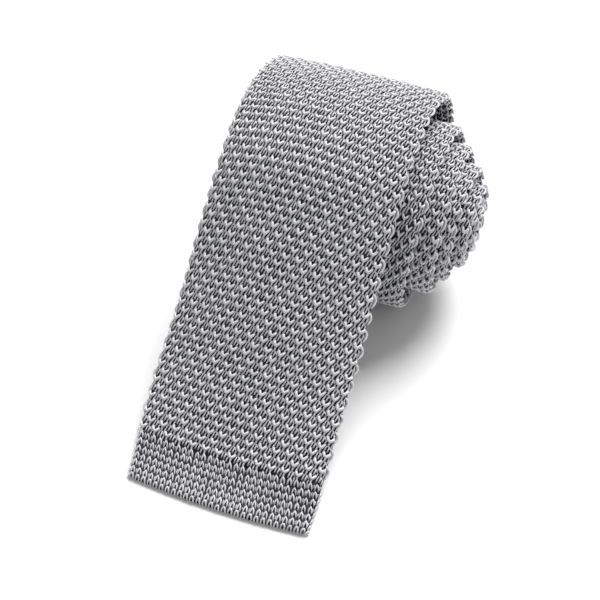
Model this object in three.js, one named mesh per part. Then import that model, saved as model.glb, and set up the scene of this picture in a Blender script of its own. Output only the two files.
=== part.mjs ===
// A knit tie, folded in two at the neck and rolled up from that fold, with the wide blade
// running off the top of the roll and down to the surface that the roll lies on.
// Millimetres, +Z up, X across the tie, the tip at -Y and the roll at +Y.
import * as THREE from 'three';

// Widths of the flattened tube
const BLADE_WIDTH = 58;
const NECK_WIDTH = 36;
const TAIL_WIDTH = 46;

// Two knit walls with a slit between them
const THICKNESS = 2.1;
const KNIT_WALL = 1.0;

// Plain-knit bands that close the two ends
const FRONT_HEM_LENGTH = 13;
const TAIL_HEM_LENGTH = 13;

// The roll, wound from the fold at its core. The blade's outermost turn stands off the rest.
const TURNS = 5.2;
const CORE_RADIUS = 4.8;
const LAYER_AIR = 0.37;
const OUTER_SLACK = 3.8;
const SLACK_TURNS = 1.1;
const TELESCOPE = 22;
const TAIL_SET_BACK = 1.5;

// The tongue leaves the roll in front of the crest, and the tail ends behind that place
const LIFT_DEGREES = 46;
const TAIL_END_DEGREES = 28;
const TONGUE_CROWN = 3.6;
const CROWN_FADE_TURNS = 0.25;

// The blade gives way to the neck, and the neck to the tail, this many turns in from the crest
const BLADE_TURNS = 3.25;
const TAIL_TURNS = 2.75;

const PIECE_GAP = 0.3;
const FACET_DEGREES = 20;
const TONGUE_STEPS = 14;
const SHORTEST_STEP = 0.2;

// Places of a ring's points across the tie, as shares of the flat half width
const CROWNED_COLUMNS = [-1, -0.5, 0, 0.5, 1];
const PLAIN_COLUMNS = [-1, 0, 1];

// Slope of the free tongue, from the tip to the point where it leaves the roll
const TONGUE_SLOPES = [
  { share: 0.00, degrees: 0 },
  { share: 0.06, degrees: 7.5 },
  { share: 0.18, degrees: 31 },
  { share: 0.50, degrees: 40.5 },
  { share: 0.75, degrees: 46.5 },
  { share: 1.00, degrees: LIFT_DEGREES },
];

// Form of the blade from the tip to the crest: width and sideways drift as shares of the blade's
// width, crown as a share of the tongue's crown
const TONGUE_FORM = [
  { share: 0.00, width: 0.890, drift: 0.044, crown: 0.30 },
  { share: 0.12, width: 0.932, drift: 0.016, crown: 0.45 },
  { share: 0.25, width: 0.983, drift: -0.018, crown: 0.75 },
  { share: 0.42, width: 1.000, drift: -0.024, crown: 1.00 },
  { share: 0.62, width: 0.966, drift: -0.012, crown: 0.90 },
  { share: 0.82, width: 0.900, drift: 0.022, crown: 0.55 },
  { share: 1.00, width: 0.886, drift: 0.028, crown: 0.25 },
];

// How the layers step out at the right and how the blade narrows to the neck, from the crest in to
// the core: place as a share of all turns, the rest as shares of the whole step and change in width
const ROLL_FORM = [
  { share: 0.000, step: 0.00, narrowing: 0.00 },
  { share: 0.027, step: 0.02, narrowing: 0.01 },
  { share: 0.077, step: 0.06, narrowing: 0.04 },
  { share: 0.123, step: 0.13, narrowing: 0.08 },
  { share: 0.163, step: 0.27, narrowing: 0.11 },
  { share: 0.219, step: 0.29, narrowing: 0.16 },
  { share: 0.269, step: 0.36, narrowing: 0.22 },
  { share: 0.315, step: 0.46, narrowing: 0.27 },
  { share: 0.356, step: 0.52, narrowing: 0.33 },
  { share: 0.412, step: 0.49, narrowing: 0.40 },
  { share: 0.508, step: 0.61, narrowing: 0.57 },
  { share: 0.604, step: 0.70, narrowing: 0.74 },
  { share: 0.700, step: 0.81, narrowing: 0.90 },
  { share: 0.827, step: 0.98, narrowing: 0.98 },
  { share: 1.000, step: 1.00, narrowing: 1.00 },
];

// The fold at the core turns the tie's back onto itself
const FOLD_DEGREES = [45, 90, 135];

// Rounded closed ends: distance from the end and height, as shares of half the thickness
const END_ROUNDING = [
  { distance: 0.00, height: 0.50 },
  { distance: 0.37, height: 0.87 },
];

const HALF_THICKNESS = THICKNESS / 2;
const HALF_SLIT = HALF_THICKNESS - KNIT_WALL;
const LAYER_PITCH = THICKNESS + LAYER_AIR;
const TURN_PITCH = 2 * LAYER_PITCH;
const TIGHT_RADIUS = CORE_RADIUS + TURNS * TURN_PITCH;
const FACET_TURN = FACET_DEGREES / 360;
const LIFT_TURN = -LIFT_DEGREES / 360;
const TAIL_END_TURN = -TAIL_END_DEGREES / 360;
const BOTTOM_TURN = 0.5;

const radians = THREE.MathUtils.degToRad;
const { lerp, clamp } = THREE.MathUtils;

// Value of a table's column at a share between two rows
function lookUp(table, share, column) {
  const last = table.length - 1;
  if (share <= table[0].share) return table[0][column];
  if (share >= table[last].share) return table[last][column];
  const upper = table.findIndex((row) => row.share > share);
  const low = table[upper - 1];
  const high = table[upper];
  return lerp(low[column], high[column], (share - low.share) / (high.share - low.share));
}

// Radius of the blade's layer, this many turns in from the crest. The two stations beside the
// floor share one radius, so the roll is flat where it rests.
function bladeRadius(turn) {
  const fromBottom = turn - BOTTOM_TURN - Math.round(turn - BOTTOM_TURN);
  const besideFloor = Math.abs(fromBottom) < FACET_TURN;
  const wound = besideFloor ? turn - fromBottom : turn;
  const slack = OUTER_SLACK * Math.max(0, 1 - wound / SLACK_TURNS);
  return TIGHT_RADIUS - TURN_PITCH * wound + slack;
}

const AXIS_HEIGHT = (bladeRadius(BOTTOM_TURN) + HALF_THICKNESS)
  * Math.cos(radians(FACET_DEGREES / 2));

// A place in the roll's side view, where x runs from the tip's side to the back and y runs up
function onRoll(turn, radius) {
  const angle = turn * 2 * Math.PI;
  const up = new THREE.Vector2(Math.sin(angle), Math.cos(angle));
  const point = new THREE.Vector2(0, AXIS_HEIGHT).addScaledVector(up, radius);
  return { turn, point, up };
}

// Turns at which the roll has a station, between two turns
function rollTurns(from, to) {
  const turns = [];
  let turn = (Math.floor(from / FACET_TURN) - 0.5) * FACET_TURN;
  while (turn < to) {
    if (turn > from) turns.push(turn);
    turn += FACET_TURN;
  }
  return turns;
}

function slopeAt(share) {
  return radians(lookUp(TONGUE_SLOPES, share, 'degrees'));
}

// The free tongue from the tip up to the roll. Its length is the one that brings the tip down to
// the floor.
function tongueStations() {
  const lift = onRoll(LIFT_TURN, bladeRadius(LIFT_TURN));
  const slopes = [];
  for (let count = 0; count < TONGUE_STEPS; count += 1) {
    slopes.push(slopeAt(1 - (count + 0.5) / TONGUE_STEPS));
  }
  const fall = slopes.reduce((sum, slope) => sum + Math.sin(slope), 0);
  const step = (lift.point.y - HALF_THICKNESS) / fall;
  const stations = [lift];
  const point = lift.point.clone();
  slopes.forEach((slope, count) => {
    point.sub(new THREE.Vector2(Math.cos(slope), Math.sin(slope)).multiplyScalar(step));
    const end = slopeAt(1 - (count + 1) / TONGUE_STEPS);
    stations.push({ point: point.clone(), up: new THREE.Vector2(-Math.sin(end), Math.cos(end)) });
  });
  return stations.reverse();
}

// Gives each station its distance from the first one
function measure(stations) {
  let distance = 0;
  stations.forEach((station, count) => {
    if (count > 0) distance += station.point.distanceTo(stations[count - 1].point);
    station.distance = distance;
  });
  return distance;
}

// Blade from the tip to the crest, with the crest's own station last
function tongueToCrest() {
  const nearCrest = [...rollTurns(LIFT_TURN, 0), 0];
  const stations = [
    ...tongueStations(),
    ...nearCrest.map((turn) => onRoll(turn, bladeRadius(turn))),
  ];
  const length = measure(stations);
  stations.forEach((station) => {
    const share = station.distance / length;
    station.width = BLADE_WIDTH * lookUp(TONGUE_FORM, share, 'width');
    station.drift = BLADE_WIDTH * lookUp(TONGUE_FORM, share, 'drift');
    station.crown = TONGUE_CROWN * lookUp(TONGUE_FORM, share, 'crown');
  });
  return stations;
}

// Blade from the crest in to the core
function woundBlade(crest) {
  const rightEdge = crest.drift + crest.width / 2;
  return [...rollTurns(0, TURNS), TURNS].map((turn) => {
    const share = turn / TURNS;
    const narrowing = lookUp(ROLL_FORM, share, 'narrowing');
    const width = lerp(crest.width, NECK_WIDTH, narrowing);
    return {
      ...onRoll(turn, bladeRadius(turn)),
      width,
      drift: rightEdge + TELESCOPE * lookUp(ROLL_FORM, share, 'step') - width / 2,
      crown: crest.crown * Math.max(0, 1 - turn / CROWN_FADE_TURNS),
    };
  });
}

// The fold at the core, with half a layer's pitch as its radius
function foldStations(bladeEnd) {
  const centre = bladeEnd.point.clone().addScaledVector(bladeEnd.up, -LAYER_PITCH / 2);
  const onward = new THREE.Vector2(bladeEnd.up.y, -bladeEnd.up.x);
  return FOLD_DEGREES.map((degrees) => {
    const up = bladeEnd.up.clone().multiplyScalar(Math.cos(radians(degrees)));
    up.addScaledVector(onward, Math.sin(radians(degrees)));
    const point = centre.clone().addScaledVector(up, LAYER_PITCH / 2);
    return { ...bladeEnd, turn: undefined, point, up };
  });
}

// Tail from the fold out to its end under the crest. It lies behind the blade and on the blade's
// next turn in, so its front faces the core.
function woundTail(blade) {
  return [TAIL_END_TURN, ...rollTurns(TAIL_END_TURN, TURNS), TURNS].reverse().map((turn) => {
    const { point, up } = onRoll(turn, bladeRadius(turn + 1) + LAYER_PITCH);
    const share = turn / TURNS;
    const cover = blade.find((station) => station.turn >= turn);
    return {
      point,
      up: up.negate(),
      tailTurn: turn,
      width: lerp(TAIL_WIDTH, NECK_WIDTH, lookUp(ROLL_FORM, share, 'narrowing')),
      drift: cover.drift - TAIL_SET_BACK * (1 - share),
      crown: 0,
    };
  });
}

// The whole tie as a row of stations from the tip to the tail's end
function wholeTie() {
  const front = tongueToCrest();
  const wound = woundBlade(front[front.length - 1]);
  const blade = [...front, ...wound];
  const tie = [...blade, ...foldStations(wound[wound.length - 1]), ...woundTail(blade)];
  measure(tie);
  return tie;
}

// The tie's station at any distance from the tip, on the straight line between two stations
function stationAt(tie, distance) {
  const upper = Math.max(1, tie.findIndex((station) => station.distance >= distance));
  const low = tie[upper - 1];
  const high = tie[upper];
  const along = (distance - low.distance) / (high.distance - low.distance);
  return {
    distance,
    point: low.point.clone().lerp(high.point, along),
    up: low.up.clone().lerp(high.up, along).normalize(),
    width: lerp(low.width, high.width, along),
    drift: lerp(low.drift, high.drift, along),
    crown: lerp(low.crown, high.crown, along),
  };
}

// Stations of one stretch, with one at each of its ends
function stretch(tie, from, to) {
  const between = tie.filter(({ distance }) => (
    distance > from + SHORTEST_STEP && distance < to - SHORTEST_STEP));
  return [stationAt(tie, from), ...between, stationAt(tie, to)];
}

// Places points of a ring in space. The crown lifts the tie's middle and leaves its edges.
function placeRing(station, outline) {
  return outline.map(([across, height]) => {
    const lift = height + station.crown * (1 - (2 * across / station.width) ** 2);
    const { x: depth, y: rise } = station.point.clone().addScaledVector(station.up, lift);
    return [station.drift + across, depth, rise];
  });
}

// Ring round the outside, from the left edge over the top to the right edge and back below
function outerRing(station, columns, heightShare) {
  const flat = station.width / 2 - HALF_THICKNESS;
  const height = HALF_THICKNESS * heightShare;
  const bend = height * Math.SQRT1_2;
  const top = columns.map((share) => [share * flat, height]);
  return placeRing(station, [
    [-flat - height, 0],
    [-flat - bend, bend],
    ...top,
    [flat + bend, bend],
    [flat + height, 0],
    [flat + bend, -bend],
    ...top.map(([across]) => [-across, -height]),
    [-flat - bend, -bend],
  ]);
}

// Ring round the slit, from the upper left corner over the top and back below
function slitRing(station, columns) {
  const flat = station.width / 2 - HALF_THICKNESS;
  const top = columns.map((share) => [share * flat, HALF_SLIT]);
  return placeRing(station, [...top, ...top.map(([across]) => [-across, -HALF_SLIT])]);
}

// Outer rings of a stretch, drawn in to a rounded edge where an end is closed
function outerRings(tie, from, to, columns, closed) {
  const startInset = closed.start ? HALF_THICKNESS : 0;
  const endInset = closed.end ? HALF_THICKNESS : 0;
  const rounded = (row, distance) => outerRing(stationAt(tie, distance), columns, row.height);
  const rings = stretch(tie, from + startInset, to - endInset)
    .map((station) => outerRing(station, columns, 1));
  [...END_ROUNDING].reverse().forEach((row) => {
    if (closed.start) rings.unshift(rounded(row, from + row.distance * HALF_THICKNESS));
    if (closed.end) rings.push(rounded(row, to - row.distance * HALF_THICKNESS));
  });
  return rings;
}

// Triangles of a tube's skin. Rings are rows of equal length, and a quad with two corners alike
// is one triangle.
class Skin {
  constructor() {
    this.points = [];
    this.triangles = [];
  }

  // Adds rings and gives back their point numbers
  addRings(rings) {
    return rings.map((ring) => ring.map((point) => this.points.push(point) - 1));
  }

  quad(a, b, c, d) {
    if (a !== b && b !== c) this.triangles.push(a, b, c);
    if (c !== d && d !== a) this.triangles.push(a, c, d);
  }

  // Walls between rings, facing out of the tube, or into it where the rings run round a slit
  sides(rings, facesIn) {
    rings.slice(1).forEach((far, row) => {
      const near = rings[row];
      near.forEach((a, count) => {
        const next = (count + 1) % near.length;
        if (facesIn) this.quad(near[next], a, far[count], far[next]);
        else this.quad(a, near[next], far[next], far[count]);
      });
    });
  }

  // Fills a ring that is two rows of points, both given from left to right
  fill(upper, lower, facesBack) {
    upper.slice(1).forEach((high, count) => {
      if (facesBack) this.quad(high, upper[count], lower[count], lower[count + 1]);
      else this.quad(upper[count], high, lower[count + 1], lower[count]);
    });
  }

  // The ring of wall at an open end
  openEnd(outer, slit, facesBack) {
    const columns = slit.length / 2;
    const rightEdge = outer.length / 2;
    const inner = outer.map((_, count) => (count <= rightEdge
      ? slit[clamp(count - 2, 0, columns - 1)]
      : slit[clamp(count - 5, columns, 2 * columns - 1)]));
    outer.forEach((a, count) => {
      const next = (count + 1) % outer.length;
      if (facesBack) this.quad(outer[next], a, inner[count], inner[next]);
      else this.quad(a, outer[next], inner[next], inner[count]);
    });
  }

  // Fills the whole outer ring, and the end of the slit behind it
  closedEnd(outer, slit, facesBack) {
    const rightEdge = outer.length / 2;
    const columns = slit.length / 2;
    const lowerOuter = [outer[0], ...outer.slice(rightEdge).reverse()];
    this.fill(outer.slice(0, rightEdge + 1), lowerOuter, facesBack);
    this.fill(slit.slice(0, columns), slit.slice(columns).reverse(), !facesBack);
  }

  geometry() {
    const geometry = new THREE.BufferGeometry();
    geometry.setAttribute('position', new THREE.Float32BufferAttribute(this.points.flat(), 3));
    geometry.setIndex(this.triangles);
    geometry.computeVertexNormals();
    return geometry;
  }
}

// One stretch of the tie as a flat tube with a slit inside it
function tubeGeometry(tie, { from, to, columns, closed = {} }) {
  const skin = new Skin();
  const slitFrom = closed.start ? from + KNIT_WALL : from;
  const slitTo = closed.end ? to - KNIT_WALL : to;
  const outer = skin.addRings(outerRings(tie, from, to, columns, closed));
  const slit = skin.addRings(stretch(tie, slitFrom, slitTo).map((s) => slitRing(s, columns)));
  skin.sides(outer, false);
  skin.sides(slit, true);
  const start = [outer[0], slit[0], true];
  const end = [outer[outer.length - 1], slit[slit.length - 1], false];
  if (closed.start) skin.closedEnd(...start);
  else skin.openEnd(...start);
  if (closed.end) skin.closedEnd(...end);
  else skin.openEnd(...end);
  return skin.geometry();
}

const tie = wholeTie();
const length = tie[tie.length - 1].distance;
const bladeEnd = tie.find(({ turn }) => turn >= BLADE_TURNS).distance;
const tailStart = tie.find(({ tailTurn }) => tailTurn <= TAIL_TURNS).distance;
const tailHemStart = length - TAIL_HEM_LENGTH;

const bodyYarn = new THREE.MeshStandardMaterial({ color: 0xa3a4a8, roughness: 0.62 });
const hemYarn = new THREE.MeshStandardMaterial({ color: 0x96979c, roughness: 0.66 });

const stretches = [
  {
    name: 'front_hem',
    material: hemYarn,
    from: 0,
    to: FRONT_HEM_LENGTH,
    columns: CROWNED_COLUMNS,
    closed: { start: true },
  },
  {
    name: 'front_blade',
    material: bodyYarn,
    from: FRONT_HEM_LENGTH + PIECE_GAP,
    to: bladeEnd,
    columns: CROWNED_COLUMNS,
  },
  {
    name: 'neck_band',
    material: bodyYarn,
    from: bladeEnd + PIECE_GAP,
    to: tailStart,
    columns: PLAIN_COLUMNS,
  },
  {
    name: 'tail_blade',
    material: bodyYarn,
    from: tailStart + PIECE_GAP,
    to: tailHemStart,
    columns: PLAIN_COLUMNS,
  },
  {
    name: 'tail_hem',
    material: hemYarn,
    from: tailHemStart + PIECE_GAP,
    to: length,
    columns: PLAIN_COLUMNS,
    closed: { end: true },
  },
];

const knitTie = new THREE.Group();
stretches.forEach((part) => {
  const mesh = new THREE.Mesh(tubeGeometry(tie, part), part.material);
  mesh.name = part.name;
  knitTie.add(mesh);
});

// The origin is below the middle of the whole tie, on the surface that it lies on
const middle = new THREE.Box3().setFromObject(knitTie).getCenter(new THREE.Vector3());
knitTie.position.set(-middle.x, -middle.y, 0);

export default knitTie;
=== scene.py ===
"""Look of the rolled knit tie: yarn stitches laid over the tie's path, a pale floor and soft light.

The path follows the part's own driving values, in millimetres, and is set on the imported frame. The
tongue's left edge, its tip and the innermost turns are fitted to the photo and so stand up to 4 mm
off the solids.
"""
import math

import bpy
import numpy as np
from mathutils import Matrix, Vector


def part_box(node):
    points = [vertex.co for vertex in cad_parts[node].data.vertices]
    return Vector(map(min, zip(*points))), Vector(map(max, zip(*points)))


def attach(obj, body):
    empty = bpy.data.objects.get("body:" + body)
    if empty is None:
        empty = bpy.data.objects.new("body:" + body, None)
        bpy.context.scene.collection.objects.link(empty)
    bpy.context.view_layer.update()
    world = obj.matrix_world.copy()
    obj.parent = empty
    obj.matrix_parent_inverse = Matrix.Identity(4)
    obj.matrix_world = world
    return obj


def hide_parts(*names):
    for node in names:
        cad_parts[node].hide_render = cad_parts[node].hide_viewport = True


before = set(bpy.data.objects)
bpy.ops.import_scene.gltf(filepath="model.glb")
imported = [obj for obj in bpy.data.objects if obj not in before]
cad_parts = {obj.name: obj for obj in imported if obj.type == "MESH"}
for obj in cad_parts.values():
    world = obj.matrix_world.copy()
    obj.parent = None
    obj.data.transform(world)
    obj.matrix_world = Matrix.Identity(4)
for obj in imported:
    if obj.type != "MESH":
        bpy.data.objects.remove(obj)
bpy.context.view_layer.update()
MM = 0.001

# Driving values of the part
BLADE_WIDTH, NECK_WIDTH, TAIL_WIDTH = 58.0, 36.0, 46.0
THICKNESS = 2.1
FRONT_HEM, TAIL_HEM, PIECE_GAP = 13.0, 13.0, 0.3
TURNS, CORE_RADIUS, LAYER_AIR = 5.2, 4.8, 0.37
OUTER_SLACK, SLACK_TURNS = 3.8, 1.1
TELESCOPE, TAIL_SET_BACK = 22.0, 1.5
LIFT_TURN, TAIL_END_TURN = -46 / 360, -28 / 360
TONGUE_CROWN, CROWN_FADE = 3.6, 0.25
BLADE_TURNS, TAIL_TURNS = 3.25, 2.75
BOTTOM_FACET = math.radians(10)
# Share of the way up the tongue, slope in degrees
SLOPES = [(0, 0), (0.06, 7.5), (0.18, 31), (0.5, 40.5), (0.75, 46.5), (1, 46)]
# Share from the tip to the crest, width, drift and crown
TONGUE_FORM = [
    (0.00, 0.912, 0.033, 0.00), (0.12, 0.960, 0.002, 0.20), (0.25, 0.961, -0.007, 0.65),
    (0.42, 0.947, 0.003, 1.00), (0.62, 0.932, 0.005, 0.90), (0.82, 0.906, 0.019, 0.55),
    (1.00, 0.904, 0.019, 0.25),
]
# Share of all turns, step and narrowing
ROLL_FORM = [
    (0.000, 0.00, 0.00), (0.027, 0.02, 0.01), (0.077, 0.055, 0.04), (0.123, 0.13, 0.08),
    (0.163, 0.27, 0.11), (0.219, 0.29, 0.16), (0.269, 0.36, 0.22), (0.315, 0.46, 0.27),
    (0.356, 0.52, 0.33), (0.412, 0.49, 0.40), (0.508, 0.61, 0.57), (0.604, 0.69, 0.74),
    (0.700, 0.78, 0.90), (0.827, 0.84, 0.98), (1.000, 0.85, 1.00),
]
HALF = THICKNESS / 2
LAYER_PITCH = THICKNESS + LAYER_AIR
TURN_PITCH = 2 * LAYER_PITCH
TIGHT_RADIUS = CORE_RADIUS + TURNS * TURN_PITCH
# Reach of the rounding of a table's kinks, in points, on the tongue and on the roll
TONGUE_SMOOTH, ROLL_SMOOTH = 14, 60
# Points along the tongue, over the crest, along each wound layer and round the fold
TONGUE_STEPS, CREST_STEPS, WOUND_STEPS, FOLD_STEPS = 700, 80, 4200, 25

# Columns of stitches round the tube, and how many of them lie on top
COLUMNS, TOP_COLUMNS = 58, 28
# One repeat of the tuck pattern, and where the first one starts
REPEAT, PHASE = 4.87, 0.9
# The courses bow: distance lost by a column, for its squared distance from the middle one, at two
# places along the tie
BOW_PLACES, BOWS, BOW_MIDDLE = (10, 70), (-0.008, 0.0145), 12.5
# The tip's end course hangs out in the middle: reach, how fast it bends back, its middle, fade
TIP_OUT, TIP_BEND, TIP_MIDDLE, TIP_FADE = 2.6, 1.4, -0.05, 13.0
# Rows of the plain hems: pitch, where the front's start and end, and the insets of the tail's
HEM_ROW, HEM_START, HEM_TOP = 1.8, 2.5, 12.4
TAIL_HEM_INSET, TAIL_TIP_INSET = 1.2, 1.6
# Distance of the last row, which turns round the end, from the end
BIND_INSET = 0.75
# Where the tuck pattern starts, and from where its stitches have all their strands
FIRST_ROW = FRONT_HEM - 0.4
BODY_START = FIRST_ROW + 2.6
# Turns where one mesh of stitches gives way to the next
CREST_START, ROLL_START, ROLL_END, STEPS_START = 0.02, 0.3, 0.90, 0.89
UNDERSIDE_END, WIDE_LINING_END, HOLLOW_END = LIFT_TURN + 0.03, 0.5, 4.1
# Strips beside the edges: width of a column, and how far one may slip under its cover
STRIP_WALE, STRIP_LAP = 1.95, 1.2
# Columns of each strip
STEP_COLUMNS, WIDE_LINING, LINING, LEFT_LINING, TAIL_LINING = 6, 9, 3, 5, 2
# How far the tail's edge stitches stop short of its ends
EDGE_INSET = 1.0
# Inside tubes: half thickness, how far short of the tie's ends, length of a step, points round
BACKING_HALF, END_INSET, TUBE_STEP, ROUND_POINTS = 0.60, 0.6, 2.0, 40
# Gap that the tube skips at each end of the fold
FOLD_INSET = 0.3
# Lowest height of any point over the floor
FLOOR_AIR = 0.02

rng = np.random.default_rng(7)


# The tie's path
def table(rows, share, column):
    rows = np.array(rows, float)
    return np.interp(share, rows[:, 0], rows[:, column])


def blade_radius(turn):
    slack = OUTER_SLACK * np.maximum(0, 1 - turn / SLACK_TURNS)
    return TIGHT_RADIUS - TURN_PITCH * turn + slack


AXIS_Z = float((blade_radius(0.5) + HALF) * math.cos(BOTTOM_FACET))


def radius_at_bottom(turn, radius):
    """Radius that the same layer has straight below the axis."""
    nearest = np.round(turn - 0.5) + 0.5
    return radius + (turn - nearest) * TURN_PITCH


def on_roll(turn, radius):
    """Places and outward directions on the roll in the side view, flat where it rests."""
    angle = 2 * np.pi * turn
    low = AXIS_Z + radius * np.cos(angle)
    sunk = blade_radius(0.5) + HALF - AXIS_Z
    rest = AXIS_Z - radius_at_bottom(turn, radius) + sunk
    rise = np.where(np.cos(angle) < 0, np.maximum(low, rest), low)
    return radius * np.sin(angle), rise, np.sin(angle), np.cos(angle)


def along(y, z):
    return np.r_[0, np.cumsum(np.hypot(np.diff(y), np.diff(z)))]


def smooth(values, reach):
    """Rounds the kinks of a table's straight pieces."""
    kernel = np.hanning(2 * reach + 1)
    kernel /= kernel.sum()
    padded = np.r_[np.full(reach, values[0]), values, np.full(reach, values[-1])]
    return np.convolve(padded, kernel, "valid")


def blade_path():
    """The blade from its tip to the core, as arrays. y runs from the roll's axis."""
    y0, z0, _, _ = on_roll(np.array([LIFT_TURN]), blade_radius(np.array([LIFT_TURN])))
    middle = 1 - (np.arange(TONGUE_STEPS) + 0.5) / TONGUE_STEPS
    slope = np.radians(table(SLOPES, middle, 1))
    step = (z0[0] - HALF) / np.sin(slope).sum()
    y = (y0[0] - np.cumsum(np.cos(slope)) * step)[::-1]
    z = (z0[0] - np.cumsum(np.sin(slope)) * step)[::-1]
    slope = slope[::-1]
    turn = np.linspace(LIFT_TURN, 0, CREST_STEPS)
    ry, rz, rny, rnz = on_roll(turn, blade_radius(turn))
    y, z = np.r_[y, ry], np.r_[z, rz]
    ny, nz = np.r_[-np.sin(slope), rny], np.r_[np.cos(slope), rnz]
    share = along(y, z) / along(y, z)[-1]
    width = smooth(BLADE_WIDTH * table(TONGUE_FORM, share, 1), TONGUE_SMOOTH)
    drift = smooth(BLADE_WIDTH * table(TONGUE_FORM, share, 2), TONGUE_SMOOTH)
    crown = smooth(TONGUE_CROWN * table(TONGUE_FORM, share, 3), TONGUE_SMOOTH)
    lead = np.linspace(LIFT_TURN - 1, LIFT_TURN, len(y) - len(turn), endpoint=False)
    wound = np.linspace(0, TURNS, WOUND_STEPS)[1:]
    wy, wz, wny, wnz = on_roll(wound, blade_radius(wound))
    full = wound / TURNS
    narrow = smooth(table(ROLL_FORM, full, 2), ROLL_SMOOTH)
    step_out = smooth(table(ROLL_FORM, full, 1), ROLL_SMOOTH)
    wide = width[-1] + (NECK_WIDTH - width[-1]) * narrow
    right = drift[-1] + width[-1] / 2 + TELESCOPE * step_out
    arrays = {
        "y": np.r_[y, wy], "z": np.r_[z, wz], "ny": np.r_[ny, wny], "nz": np.r_[nz, wnz],
        "w": np.r_[width, wide], "d": np.r_[drift, right - wide / 2],
        "c": np.r_[crown, crown[-1] * np.maximum(0, 1 - wound / CROWN_FADE)],
        "turn": np.r_[lead, turn, wound],
    }
    arrays["s"] = along(arrays["y"], arrays["z"])
    return arrays


def tail_path(blade):
    """The tail from the core out to its end. Its outward side is its back."""
    turn = np.linspace(TURNS, TAIL_END_TURN, WOUND_STEPS)
    y, z, ny, nz = on_roll(turn, blade_radius(turn + 1) + LAYER_PITCH)
    share = np.clip(turn / TURNS, 0, 1)
    wide = TAIL_WIDTH + (NECK_WIDTH - TAIL_WIDTH) * table(ROLL_FORM, share, 2)
    drift = np.interp(turn, blade["turn"], blade["d"]) - TAIL_SET_BACK * (1 - turn / TURNS)
    arrays = {"y": y, "z": z, "ny": ny, "nz": nz, "w": wide, "d": drift,
              "c": np.zeros_like(y), "turn": turn}
    arrays["s"] = along(y, z)
    return arrays


def fold_path(blade):
    """The turn-round at the core between blade and tail."""
    y, z, ny, nz = (float(blade[key][-1]) for key in ("y", "z", "ny", "nz"))
    degrees = np.radians(np.linspace(0, 180, FOLD_STEPS))
    cy, cz = y - ny * LAYER_PITCH / 2, z - nz * LAYER_PITCH / 2
    uy = ny * np.cos(degrees) + nz * np.sin(degrees)
    uz = nz * np.cos(degrees) - ny * np.sin(degrees)
    arrays = {"y": cy + uy * LAYER_PITCH / 2, "z": cz + uz * LAYER_PITCH / 2, "ny": uy, "nz": uz}
    for key in ("w", "d", "c", "turn"):
        arrays[key] = np.full(len(degrees), float(blade[key][-1]))
    arrays["s"] = along(arrays["y"], arrays["z"])
    return arrays


def distance_at(path, turn):
    order = 1 if path["turn"][-1] > path["turn"][0] else -1
    return float(np.interp(turn * order, path["turn"] * order, path["s"]))


blade = blade_path()
tail = tail_path(blade)
fold = fold_path(blade)
BLADE_LENGTH = float(blade["s"][-1])
FOLD_LENGTH = float(fold["s"][-1])
TAIL_LENGTH = float(tail["s"][-1])
BLADE_END = distance_at(blade, BLADE_TURNS)
TAIL_START = distance_at(tail, TAIL_TURNS)
TAIL_HEM_START = TAIL_LENGTH - TAIL_HEM

crest_right = float(np.interp(0, blade["turn"], blade["d"] + blade["w"] / 2))
AXIS_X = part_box("neck_band")[1].x / MM - crest_right - TELESCOPE
AXIS_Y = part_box("front_hem")[0].y / MM - float(blade["y"][0])


def place(path, s, p, h):
    """Points of the surface. s is the distance along the path, p the distance round the tube from
    the middle of its outward side, and h the height over the surface."""
    w = np.interp(s, path["s"], path["w"])
    flat = w / 2 - HALF
    past = np.abs(p) - flat
    bend = np.clip(past / HALF, 0, np.pi)
    under = np.maximum(0, past - np.pi * HALF)
    radius = HALF + h
    across = np.where(past <= 0, np.abs(p), flat + radius * np.sin(bend) - under) * np.sign(p)
    height = np.where(past <= 0, radius, radius * np.cos(bend))
    share = np.clip(2 * across / w, -1, 1)
    if path is blade:
        s = s + (TIP_BEND * (share - TIP_MIDDLE) ** 2 - TIP_OUT) * np.clip(1 - s / TIP_FADE, 0, 1)
    height = height + np.interp(s, path["s"], path["c"]) * (1 - share ** 2)
    x = AXIS_X + np.interp(s, path["s"], path["d"]) + across
    ny, nz = np.interp(s, path["s"], path["ny"]), np.interp(s, path["s"], path["nz"])
    beyond = np.minimum(s - path["s"][0], 0) + np.maximum(s - path["s"][-1], 0)
    y = AXIS_Y + np.interp(s, path["s"], path["y"]) + ny * height + nz * beyond
    z = np.interp(s, path["s"], path["z"]) + nz * height - ny * beyond
    return np.stack([x, y, np.maximum(z, FLOOR_AIR)], -1)


def quarter(path, s):
    """Distance from the middle of one side round to the middle of the edge."""
    return np.interp(s, path["s"], path["w"]) / 2 - HALF + np.pi / 2 * HALF


# Strands of the stitches
def curve(points, rings):
    """Smooth line through given points of (across, along, height, radius)."""
    points = np.array(points, float)
    for _ in range(2):
        inner = np.stack([points[:-1] * 0.75 + points[1:] * 0.25,
                          points[:-1] * 0.25 + points[1:] * 0.75], 1).reshape(-1, 4)
        points = np.concatenate([points[:1], inner, points[-1:]])
    length = np.r_[0, np.cumsum(np.linalg.norm(np.diff(points[:, :3], axis=0), axis=1))]
    even = np.linspace(0, length[-1], rings)
    return np.stack([np.interp(even, length, points[:, k]) for k in range(4)], 1)


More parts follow.
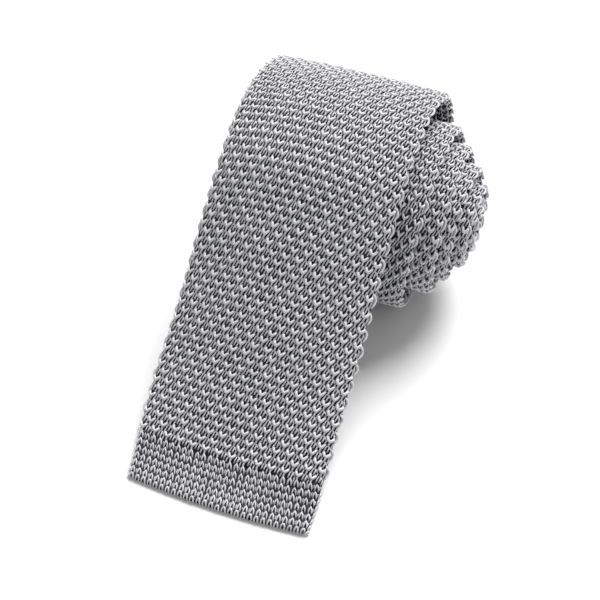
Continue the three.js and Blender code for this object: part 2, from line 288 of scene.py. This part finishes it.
# Across in wales, along in mm towards the roll, height and radius in mm
RAISED = curve([
    (-0.41, 1.65, -0.38, 0.27), (-0.39, 1.28, 0.10, 0.40), (-0.29, 0.72, 0.24, 0.47),
    (-0.12, 0.12, 0.12, 0.50), (0.06, 0.10, 0.10, 0.50), (0.24, 0.62, 0.16, 0.46),
    (0.43, 1.12, 0.03, 0.38), (0.55, 1.52, -0.38, 0.25),
], 8)
RAISED_PLAIN = curve([
    (-0.42, 1.55, -0.33, 0.30), (-0.30, 0.68, 0.22, 0.46), (-0.03, 0.05, 0.12, 0.50),
    (0.26, 0.65, 0.16, 0.45), (0.55, 1.48, -0.35, 0.27),
], 7)
STEM = curve([(0.00, 0.20, 0.02, 0.38), (-0.04, -0.60, 0.00, 0.34), (-0.14, -1.50, -0.32, 0.24)], 4)
# Thin strands between the raised loops
THIN = [curve(points, 4) for points in (
    ((0.14, -1.25, -0.36, 0.20), (0.05, -2.20, -0.10, 0.27), (-0.10, -3.20, -0.36, 0.20)),
    ((-0.26, -1.20, -0.38, 0.18), (-0.37, -2.15, -0.14, 0.24), (-0.52, -3.15, -0.38, 0.18)),
    ((0.50, -0.05, -0.40, 0.18), (0.42, -0.95, -0.16, 0.24), (0.32, -1.85, -0.40, 0.18)),
    ((0.52, -2.15, -0.40, 0.18), (0.42, -2.95, -0.16, 0.24), (0.30, -3.80, -0.40, 0.18)),
    ((-0.08, -1.30, -0.38, 0.20), (0.22, -1.85, -0.26, 0.22), (0.50, -2.30, -0.40, 0.18)),
)]
EDGE = curve([
    (-0.62, 2.10, -0.38, 0.24), (-0.40, 1.75, 0.02, 0.33), (-0.12, 1.15, 0.12, 0.38),
    (0.02, 0.45, 0.12, 0.37), (-0.02, -0.30, 0.08, 0.33), (-0.18, -1.00, -0.04, 0.28),
    (-0.36, -1.60, -0.34, 0.20),
], 8)
EDGE_INNER = curve([
    (-0.62, 1.00, -0.30, 0.22), (-0.50, 0.10, -0.16, 0.24), (-0.62, -1.10, -0.36, 0.18),
], 4)
EDGE_OUTER = curve([
    (0.10, 2.30, -0.36, 0.20), (0.34, 1.40, -0.10, 0.26), (0.46, 0.20, -0.16, 0.25),
    (0.30, -1.00, -0.38, 0.18),
], 4)
HEM = curve([
    (-0.27, -1.20, -0.42, 0.18), (-0.26, -0.65, -0.04, 0.25), (-0.17, 0.05, 0.08, 0.29),
    (0.00, 0.60, 0.10, 0.31), (0.17, 0.05, 0.08, 0.29), (0.26, -0.65, -0.04, 0.25),
    (0.27, -1.20, -0.42, 0.18),
], 7)
HEM_SINKER = curve([
    (0.50, -0.80, -0.52, 0.14), (0.50, -0.20, -0.46, 0.17), (0.50, 0.40, -0.52, 0.14),
], 3)
# Last loop of a hem, which turns down over the end
BIND = curve([
    (-0.28, -0.35, -1.25, 0.22), (-0.28, -0.30, -0.55, 0.26), (-0.20, 0.15, -0.05, 0.29),
    (0.00, 0.70, 0.10, 0.31), (0.20, 0.15, -0.05, 0.29), (0.28, -0.30, -0.55, 0.26),
    (0.28, -0.35, -1.25, 0.22),
], 8)
TAIL_BIND = BIND * (1, -1, 1, 1)

# Each kind of stitch as strands with the number of their sides
FIRST_KINDS = ((RAISED, 6), (STEM, 4))
BODY_KINDS = ((RAISED, 6), (STEM, 4), *((strand, 4) for strand in THIN))
PLAIN_KINDS = ((RAISED_PLAIN, 4), (STEM, 4), *((strand, 4) for strand in THIN[:3]))
INNER_KINDS = ((RAISED_PLAIN, 4), (STEM, 4), (THIN[0], 4), (THIN[2], 4))
EDGE_KINDS = ((EDGE, 6), (EDGE_INNER, 4), (EDGE_OUTER, 4))
HEM_KINDS = ((HEM, 6), (HEM_SINKER, 4))
BIND_KINDS = ((BIND, 6),)
TAIL_BIND_KINDS = ((TAIL_BIND, 6),)

# Corners of the quads that close a strand's end, by the number of its sides
CAPS = {4: [[0, 1, 2, 3]], 6: [[0, 1, 2, 3], [0, 3, 4, 5]]}
# How much stitches differ: shares of width, length and thickness, and mm of shift and height
UNEVEN_WIDTH, UNEVEN_LENGTH, UNEVEN_RADIUS, UNEVEN_PLACE, UNEVEN_HEIGHT = 0.05, 0.05, 0.04, 0.06, 0.05
# Different starts of the twist along a strand
TWIST_STARTS = 40


class Yarn:
    """Collects strands and joins them into one mesh."""

    def __init__(self, name):
        self.name = name
        self.points, self.quads, self.uvs, self.count = [], [], [], 0

    def add(self, path, kinds, s, p, wale, sides_on=1.0):
        """Lays a copy of each strand at each stitch. s, p and wale are arrays of one length.
        sides_on is -1 where the outward side is the tie's back, so the stitch is turned over."""
        if len(s) == 0:
            return
        jitter = rng.normal(0, 1, (4, len(s), 1))
        for strand, sides in kinds:
            self.lay(path, strand, sides, s, p, wale, jitter, sides_on)

    def lay(self, path, strand, sides, s, p, wale, jitter, sides_on):
        rings = len(strand)
        across = strand[None, :, 0] * sides_on * wale[:, None] * (1 + UNEVEN_WIDTH * jitter[0])
        forward = strand[None, :, 1] * (1 + UNEVEN_LENGTH * jitter[1]) + UNEVEN_PLACE * jitter[2]
        height = strand[None, :, 2] + UNEVEN_HEIGHT * jitter[3] * np.ones((1, rings))
        radius = strand[None, :, 3] * (1 + UNEVEN_RADIUS * jitter[2])
        run_p = np.gradient(across, axis=1)
        run_s = np.gradient(forward, axis=1)
        size = np.hypot(run_p, run_s) + 1e-9
        side_p, side_s = run_s / size, -run_p / size
        angle = 2 * np.pi * (np.arange(sides) + 0.5) / sides
        out = radius[..., None] * np.cos(angle)
        up = radius[..., None] * np.sin(angle)
        pp = p[:, None, None] + across[..., None] + side_p[..., None] * out
        ss = s[:, None, None] + forward[..., None] + side_s[..., None] * out
        spots = place(path, ss, pp, height[..., None] + up).reshape(-1, 3)
        base = self.count + (np.arange(len(s)) * rings * sides)[:, None, None]
        ring = np.arange(rings - 1)[None, :, None] * sides
        here = np.arange(sides)[None, None, :]
        after = (here + 1) % sides
        walls = np.stack([base + ring + here, base + ring + after, base + ring + sides + after,
                          base + ring + sides + here], -1)
        if sides_on > 0:
            walls = walls[..., ::-1]
        cap = np.array(CAPS[sides])
        starts = (base + cap[None]).reshape(-1, 4)
        ends = (base + (rings - 1) * sides + cap[None, :, ::-1]).reshape(-1, 4)
        start = 2 * np.floor(rng.random(len(s)) * TWIST_STARTS)
        shape = (len(s), rings, sides)
        u = np.broadcast_to(np.linspace(0, 1, rings)[None, :, None] + start[:, None, None], shape)
        v = np.broadcast_to(np.arange(sides)[None, None, :] / sides, shape)
        self.points.append(spots)
        self.quads += [walls.reshape(-1, 4), starts, ends]
        self.uvs.append(np.stack([u, v], -1).reshape(-1, 2))
        self.count += len(spots)

    def build(self, node, material):
        """Makes the mesh and files it under the node that it belongs to."""
        points, quads = np.concatenate(self.points), np.concatenate(self.quads)
        uvs = np.concatenate(self.uvs)
        mesh = bpy.data.meshes.new(self.name)
        mesh.vertices.add(len(points))
        mesh.vertices.foreach_set("co", (points * MM).astype(np.float32).ravel())
        mesh.loops.add(4 * len(quads))
        mesh.loops.foreach_set("vertex_index", quads.astype(np.int32).ravel())
        mesh.polygons.add(len(quads))
        mesh.polygons.foreach_set("loop_start", np.arange(0, 4 * len(quads), 4, dtype=np.int32))
        layer = mesh.uv_layers.new(name="UVMap")
        layer.data.foreach_set("uv", uvs[quads.ravel()].astype(np.float32).ravel())
        mesh.update(calc_edges=True)
        mesh.validate()
        yarns[node].append(finish_mesh(mesh, material))


def finish_mesh(mesh, material):
    mesh.polygons.foreach_set("use_smooth", np.ones(len(mesh.polygons), bool))
    mesh.materials.append(material)
    obj = bpy.data.objects.new(mesh.name, mesh)
    bpy.context.scene.collection.objects.link(obj)
    return obj


# Where stitches lie
def beats(start, end, first):
    """Distances one repeat apart, from the first one on."""
    low = math.ceil((start - first) / REPEAT)
    return first + REPEAT * np.arange(low, math.floor((end - first) / REPEAT) + 1)


def bowed(s, column):
    """Distance that a stitch on top loses or gains because the courses bow."""
    bow = np.interp(s, BOW_PLACES, BOWS) * (column - BOW_MIDDLE) ** 2
    return np.where(np.asarray(column) <= TOP_COLUMNS, bow, 0)


def lattice(path, start, end, columns):
    """Stitches of the tuck pattern between two distances: every other column is half a repeat on."""
    s_all, p_all, w_all = [], [], []
    for column in columns:
        s = beats(start, end, PHASE + (REPEAT / 2 if column % 2 else 0))
        wale = 4 * quarter(path, s) / COLUMNS
        s = s - bowed(s, column)
        s_all.append(s)
        p_all.append(-quarter(path, s) + column * wale)
        w_all.append(wale)
    return tuple(np.concatenate(values) for values in (s_all, p_all, w_all))


def strip(path, start_turn, end_turn, side, inner, columns, cover=None):
    """Stitches beside an edge. side is 1 at the right edge, inner is the face turned to the axis.
    With a cover, only those that the covering layer leaves open: (path, turns to it)."""
    low, high = sorted((distance_at(path, start_turn), distance_at(path, end_turn)))
    s_all, p_all = [], []
    for column in range(1, columns + 1):
        s = beats(low, high, REPEAT / 2 if column % 2 else 0)
        if cover:
            over, turns = cover
            order = 1 if over["turn"][-1] > over["turn"][0] else -1
            seek = (np.interp(s, path["s"], path["turn"]) + turns) * order
            other = np.interp(seek, over["turn"] * order, over["d"] + side * over["w"] / 2)
            mine = np.interp(s, path["s"], path["d"] + side * path["w"] / 2)
            s = s[column * STRIP_WALE < side * (mine - other) + STRIP_LAP * STRIP_WALE]
        inset = quarter(path, s) - column * STRIP_WALE
        s_all.append(s)
        p_all.append(side * (2 * quarter(path, s) - inset if inner else inset))
    s, p = np.concatenate(s_all), np.concatenate(p_all)
    return s, p, np.full(len(s), STRIP_WALE)


def edge_column(path, start, end, side):
    """One long stitch a repeat, down the fold at an edge."""
    s = beats(start, end, REPEAT / 2 if side > 0 else 0)
    wale = 4 * quarter(path, s) / COLUMNS
    return s, side * quarter(path, s), np.maximum(wale, STRIP_WALE)


def hem_rows(path, rows):
    """Rows of the plain knit round the tube. The front's rows bow as the body's courses do."""
    s = np.repeat(rows, COLUMNS)
    column = np.tile(np.arange(COLUMNS), len(rows))
    wale = 4 * quarter(path, s) / COLUMNS
    p = -quarter(path, s) + column * wale
    if path is blade:
        s = s - bowed(s, column) * np.clip(s / TIP_FADE, 0, 1)
    return s, p, wale


# Materials
def node_material(name):
    material = bpy.data.materials.new(name)
    material.use_nodes = True
    nodes, links = material.node_tree.nodes, material.node_tree.links
    return material, nodes, links, nodes["Principled BSDF"]


def yarn_material(name, dark, light):
    """Silky two-ply yarn: lighter and darker patches, with its twist as a bump."""
    material, nodes, links, shader = node_material(name)
    shader.inputs["Roughness"].default_value = 0.34
    shader.inputs["Specular IOR Level"].default_value = 0.7
    shader.inputs["Sheen Weight"].default_value = 0.25
    shader.inputs["Sheen Roughness"].default_value = 0.4
    coordinates = nodes.new("ShaderNodeTexCoord")
    patch = nodes.new("ShaderNodeTexNoise")
    patch.inputs["Scale"].default_value = 900
    patch.inputs["Detail"].default_value = 2
    links.new(coordinates.outputs["Object"], patch.inputs["Vector"])
    ramp = nodes.new("ShaderNodeValToRGB")
    ramp.color_ramp.elements[0].position = 0.35
    ramp.color_ramp.elements[0].color = (*dark, 1)
    ramp.color_ramp.elements[1].position = 0.65
    ramp.color_ramp.elements[1].color = (*light, 1)
    links.new(patch.outputs["Fac"], ramp.inputs["Fac"])
    links.new(ramp.outputs["Color"], shader.inputs["Base Color"])
    twist = nodes.new("ShaderNodeTexWave")
    twist.bands_direction = "DIAGONAL"
    twist.inputs["Scale"].default_value = 1.6
    twist.inputs["Distortion"].default_value = 1.0
    links.new(coordinates.outputs["UV"], twist.inputs["Vector"])
    bump = nodes.new("ShaderNodeBump")
    bump.inputs["Strength"].default_value = 0.35
    bump.inputs["Distance"].default_value = 0.00006
    links.new(twist.outputs["Fac"], bump.inputs["Height"])
    links.new(bump.outputs["Normal"], shader.inputs["Normal"])
    return material


def hole_shade_material(name, colour):
    """Painted shade for the inside of the knit, seen through the holes between the strands: a
    near-black, slightly blue colour that stands for the shade in the holes, not the grey yarn's own
    colour.
    """
    material, nodes, links, shader = node_material(name)
    shader.inputs["Roughness"].default_value = 0.9
    shader.inputs["Specular IOR Level"].default_value = 0.1
    coordinates = nodes.new("ShaderNodeTexCoord")
    loops = nodes.new("ShaderNodeTexVoronoi")
    loops.inputs["Scale"].default_value = 700
    links.new(coordinates.outputs["Object"], loops.inputs["Vector"])
    ramp = nodes.new("ShaderNodeValToRGB")
    ramp.color_ramp.elements[0].color = (*[c * 1.5 for c in colour], 1)
    ramp.color_ramp.elements[1].color = (*[c * 0.5 for c in colour], 1)
    links.new(loops.outputs["Distance"], ramp.inputs["Fac"])
    links.new(ramp.outputs["Color"], shader.inputs["Base Color"])
    bump = nodes.new("ShaderNodeBump")
    bump.inputs["Strength"].default_value = 0.6
    bump.inputs["Distance"].default_value = 0.0003
    links.new(loops.outputs["Distance"], bump.inputs["Height"])
    links.new(bump.outputs["Normal"], shader.inputs["Normal"])
    return material


BODY_YARN = yarn_material("body_yarn", (0.54, 0.54, 0.56), (0.70, 0.70, 0.72))
HEM_YARN = yarn_material("hem_yarn", (0.50, 0.50, 0.52), (0.66, 0.66, 0.68))
# Painted shade: the inside tubes get a near-black, slightly blue colour in place of the shade deep in
# the knit's holes
HOLE_SHADE = hole_shade_material("knit_hole_shade", (0.040, 0.040, 0.046))


# Inside tubes, one for each CAD node
def tube(name, stretches):
    """A flat closed tube along parts of paths. Each stretch is a path, the distances that it
    covers, and whether its outward side is the tie's back."""
    share = np.arange(ROUND_POINTS) / ROUND_POINTS
    rings = []
    for path, start, end, flip in stretches:
        s = np.linspace(start, end, max(2, int((end - start) / TUBE_STEP)))
        p = (share[None, :] - 0.5) * 4 * quarter(path, s)[:, None]
        p = -p if flip else p
        rings.append(place(path, np.broadcast_to(s[:, None], p.shape), p, BACKING_HALF - HALF))
    points = np.concatenate(rings)
    last = (len(points) - 1) * ROUND_POINTS
    row = np.arange(len(points) - 1)[:, None] * ROUND_POINTS
    here = np.arange(ROUND_POINTS)[None, :]
    after = (here + 1) % ROUND_POINTS
    walls = np.stack([row + here, row + after, row + ROUND_POINTS + after,
                      row + ROUND_POINTS + here], -1).reshape(-1, 4)
    half = ROUND_POINTS // 2
    rung = np.arange(1, half - 1)
    ladder = np.stack([rung, ROUND_POINTS - rung, ROUND_POINTS - rung - 1, rung + 1], -1)
    tips = np.array([[0, ROUND_POINTS - 1, 1], [half - 1, half + 1, half]])
    quads = np.concatenate([walls, ladder[:, ::-1], ladder + last])
    triangles = [tips[0][::-1], tips[0] + last, tips[1][::-1], tips[1] + last]
    faces = quads.tolist() + [triangle.tolist() for triangle in triangles]
    mesh = bpy.data.meshes.new(name)
    mesh.from_pydata((points.reshape(-1, 3) * MM).tolist(), [], faces)
    loops = np.zeros(len(mesh.loops), np.int32)
    mesh.loops.foreach_get("vertex_index", loops)
    uv = np.stack([loops % ROUND_POINTS / ROUND_POINTS, loops // ROUND_POINTS / 10], -1)
    layer = mesh.uv_layers.new(name="UVMap")
    layer.data.foreach_set("uv", uv.astype(np.float32).ravel())
    mesh.update()
    # The tube takes the near-black painted shade of the knit's holes
    return finish_mesh(mesh, HOLE_SHADE)


backing = {
    "front_hem": tube("front_hem_inside", [(blade, END_INSET, FRONT_HEM, False)]),
    "front_blade": tube("front_blade_inside", [(blade, FRONT_HEM + PIECE_GAP, BLADE_END, False)]),
    "neck_band": tube("neck_band_inside", [
        (blade, BLADE_END + PIECE_GAP, BLADE_LENGTH, False),
        (fold, FOLD_INSET, FOLD_LENGTH - FOLD_INSET, False),
        (tail, 0.0, TAIL_START, True),
    ]),
    "tail_blade": tube("tail_blade_inside", [(tail, TAIL_START + PIECE_GAP, TAIL_HEM_START, True)]),
    "tail_hem": tube("tail_hem_inside", [
        (tail, TAIL_HEM_START + PIECE_GAP, TAIL_LENGTH - END_INSET, True),
    ]),
}

# Stitches that show
yarns = {name: [] for name in backing}
top_columns = range(1, TOP_COLUMNS + 1)
under_columns = range(TOP_COLUMNS + 2, COLUMNS)
crest_start, roll_start, roll_end, underside_end = (
    distance_at(blade, turn) for turn in (CREST_START, ROLL_START, ROLL_END, UNDERSIDE_END))

yarn = Yarn("tongue_stitches")
yarn.add(blade, FIRST_KINDS, *lattice(blade, FIRST_ROW, BODY_START, top_columns))
yarn.add(blade, BODY_KINDS, *lattice(blade, BODY_START, crest_start, top_columns))
yarn.build("front_blade", BODY_YARN)

yarn = Yarn("crest_stitches")
yarn.add(blade, BODY_KINDS, *lattice(blade, crest_start, roll_start, top_columns))
yarn.build("front_blade", BODY_YARN)

yarn = Yarn("roll_stitches")
yarn.add(blade, PLAIN_KINDS, *lattice(blade, roll_start, roll_end, top_columns))
yarn.build("front_blade", BODY_YARN)

yarn = Yarn("underside_stitches")
yarn.add(blade, FIRST_KINDS, *lattice(blade, FIRST_ROW, BODY_START, under_columns))
yarn.add(blade, PLAIN_KINDS, *lattice(blade, BODY_START, underside_end, under_columns))
yarn.build("front_blade", BODY_YARN)

yarn = Yarn("right_step_stitches")
yarn.add(blade, BODY_KINDS, *strip(blade, STEPS_START, TURNS, 1, False, STEP_COLUMNS, (blade, -1)))
yarn.build("front_blade", BODY_YARN)

yarn = Yarn("right_inner_stitches")
yarn.add(blade, INNER_KINDS, *strip(blade, LIFT_TURN, WIDE_LINING_END, 1, True, WIDE_LINING))
yarn.add(blade, INNER_KINDS, *strip(blade, WIDE_LINING_END, TURNS, 1, True, LINING))
yarn.add(blade, INNER_KINDS, *strip(blade, LIFT_TURN, SLACK_TURNS, -1, True, LEFT_LINING))
yarn.add(tail, INNER_KINDS, *strip(tail, 0.0, TURNS, 1, True, TAIL_LINING), sides_on=-1)
yarn.build("front_blade", BODY_YARN)

yarn = Yarn("left_hollow_stitches")
yarn.add(tail, INNER_KINDS, *strip(tail, TAIL_END_TURN, HOLLOW_END, -1, True, STEP_COLUMNS, (blade, 1)),
         sides_on=-1)
yarn.build("tail_blade", BODY_YARN)

yarn = Yarn("blade_edge_stitches")
for side in (-1, 1):
    yarn.add(blade, EDGE_KINDS, *edge_column(blade, BODY_START, BLADE_LENGTH, side))
yarn.build("front_blade", BODY_YARN)

yarn = Yarn("tail_edge_stitches")
for side in (-1, 1):
    yarn.add(tail, EDGE_KINDS, *edge_column(tail, EDGE_INSET, TAIL_HEM_START - EDGE_INSET, side),
             sides_on=-1)
yarn.build("tail_blade", BODY_YARN)

yarn = Yarn("front_hem_stitches")
yarn.add(blade, HEM_KINDS, *hem_rows(blade, np.arange(HEM_START, HEM_TOP, HEM_ROW)))
yarn.add(blade, BIND_KINDS, *hem_rows(blade, [BIND_INSET]))
yarn.build("front_hem", HEM_YARN)

yarn = Yarn("tail_hem_stitches")
tail_rows = np.arange(TAIL_HEM_START + TAIL_HEM_INSET, TAIL_LENGTH - TAIL_TIP_INSET, HEM_ROW)
yarn.add(tail, HEM_KINDS, *hem_rows(tail, tail_rows), sides_on=-1)
yarn.add(tail, TAIL_BIND_KINDS, *hem_rows(tail, [TAIL_LENGTH - BIND_INSET]), sides_on=-1)
yarn.build("tail_hem", HEM_YARN)

# File the inside tubes and stitches under the root body, and hide the CAD solids
for node, piece in backing.items():
    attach(piece, "root")
    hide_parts(node)
    for strands in yarns[node]:
        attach(strands, "root")

# Floor, light and camera, in metres
FLOOR_REACH = 3.0
SUN_ENERGY, SUN_ANGLE, SUN_PLACE = 3.9, math.radians(34), Vector((0.12, 0.66, 1.0))
WORLD_STRENGTH = 0.42
CAMERA_LENS = 68.68
CAMERA_PLACE = Vector((0.070529, -0.209103, 0.272636))
CAMERA_AIM = Vector((-0.004538, -0.009606, 0.025621))

corners = [(x * FLOOR_REACH, y * FLOOR_REACH, 0) for x, y in ((-1, -1), (1, -1), (1, 1), (-1, 1))]
floor_mesh = bpy.data.meshes.new("floor")
floor_mesh.from_pydata(corners, [], [(0, 1, 2, 3)])
floor = bpy.data.objects.new("floor", floor_mesh)
bpy.context.scene.collection.objects.link(floor)
material, _, _, shader = node_material("floor_white")
shader.inputs["Base Color"].default_value = (0.93, 0.93, 0.93, 1)
shader.inputs["Roughness"].default_value = 0.9
shader.inputs["Specular IOR Level"].default_value = 0.1
floor_mesh.materials.append(material)

world = bpy.data.worlds.new("studio")
world.use_nodes = True
world.node_tree.nodes["Background"].inputs["Color"].default_value = (1, 1, 1, 1)
world.node_tree.nodes["Background"].inputs["Strength"].default_value = WORLD_STRENGTH
bpy.context.scene.world = world

sun = bpy.data.lights.new("softbox", "SUN")
sun.energy = SUN_ENERGY
sun.angle = SUN_ANGLE
softbox = bpy.data.objects.new("softbox", sun)
softbox.rotation_euler = (-SUN_PLACE).to_track_quat("-Z", "Y").to_euler()
softbox.location = SUN_PLACE
bpy.context.scene.collection.objects.link(softbox)

camera_data = bpy.data.cameras.new("camera")
camera_data.sensor_width = 36.0
camera_data.lens = CAMERA_LENS
camera_data.clip_start = 0.01
camera = bpy.data.objects.new("camera", camera_data)
bpy.context.scene.collection.objects.link(camera)
camera.location = CAMERA_PLACE
camera.rotation_euler = (CAMERA_AIM - CAMERA_PLACE).to_track_quat("-Z", "Y").to_euler()
bpy.context.scene.camera = camera
bpy.context.scene.view_settings.view_transform = "Standard"
